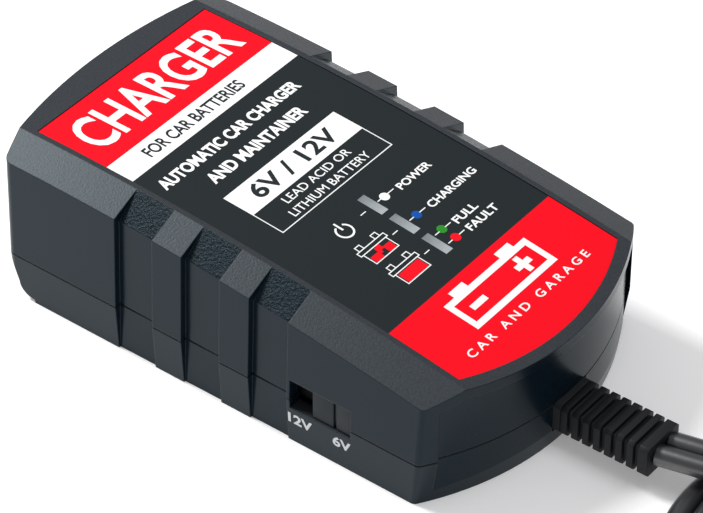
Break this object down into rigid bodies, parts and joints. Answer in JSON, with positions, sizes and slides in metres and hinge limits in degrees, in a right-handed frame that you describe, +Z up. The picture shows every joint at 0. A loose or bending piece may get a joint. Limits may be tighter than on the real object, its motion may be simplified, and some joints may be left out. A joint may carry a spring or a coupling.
{
  "type": "car battery charger",
  "caption": "Moulded two-part battery charger with a crowned labelled top, grooved sides, a side selector switch and mains and battery leads from a ribbed strain relief.",
  "frame": {"origin": "on the ground under the middle of the case, leads left out", "axes": "+X along the case towards the cable end, +Z up, the selector on the -Y side"},
  "size_m": [0.3306, 0.0827, 0.0365],
  "materials": {
    "abs_black": "moulded ABS, fine texture",
    "label_film": "printed polyester film",
    "light_guide": "clear polycarbonate",
    "pvc_black": "soft PVC",
    "lead_jacket": "soft PVC jacket, wound in a coil",
    "steel": "zinc plated steel",
    "brass": "nickel plated brass",
    "board": "glass fibre board",
    "dark_part": "epoxy moulding",
    "yellow_part": "moulded film capacitor",
    "blue_part": "epoxy dipped disc",
    "sleeve": "heat shrunk sleeve over an aluminium can",
    "ferrite": "ferrite",
    "copper": "enamelled copper wire",
    "aluminium": "bare sheet",
    "glass": "fuse tube",
    "plate_print": "blank printed film",
    "tie": "nylon strap",
    "led_lens": "clear epoxy"
  },
  "bodies": {
    "charger": {"battery_coil": "lead_jacket", "battery_coil_ties": "tie", "battery_connector": "pvc_black", "battery_lead": "pvc_black", "battery_tail": "pvc_black", "battery_wires": "pvc_black", "board_screws": "steel", "bridge_rectifier": "dark_part", "case_screws": "steel", "charge_controller": "dark_part", "charge_led": "led_lens", "charge_light_guide": "light_guide", "choke_core": "ferrite", "choke_windings": "copper", "circuit_board": "board", "connector_pin": "brass", "connector_socket": "brass", "device_screws": "steel", "face_label": "label_film", "fuse": "glass", "fuse_clips": "brass", "heat_spreader": "aluminium", "input_capacitor": "sleeve", "lower_case": "abs_black", "mains_coil": "lead_jacket", "mains_coil_ties": "tie", "mains_lead": "pvc_black", "mains_plug": "pvc_black", "mains_tail": "pvc_black", "mains_wires": "pvc_black", "optocoupler": "dark_part", "output_capacitor": "sleeve", "output_diode": "dark_part", "plug_pins": "brass", "power_led": "led_lens", "power_light_guide": "light_guide", "power_transistor": "dark_part", "rating_plate": "plate_print", "status_led": "led_lens", "status_light_guide": "light_guide", "strain_relief": "pvc_black", "switch_body": "dark_part", "switch_terminals": "brass", "transformer_bobbin": "dark_part", "transformer_core": "ferrite", "transformer_winding": "copper", "upper_case": "abs_black", "varistor": "blue_part", "x_capacitor": "yellow_part", "y_capacitor": "blue_part"},
    "selector": {"selector_knob": "abs_black", "contact_slider": "brass"}
  },
  "joints": [
    {"name": "selector_slide", "type": "slide", "parent": "charger", "child": "selector", "axis": [1, 0, 0], "range_m": [-0.00511, 0]}
  ]
}
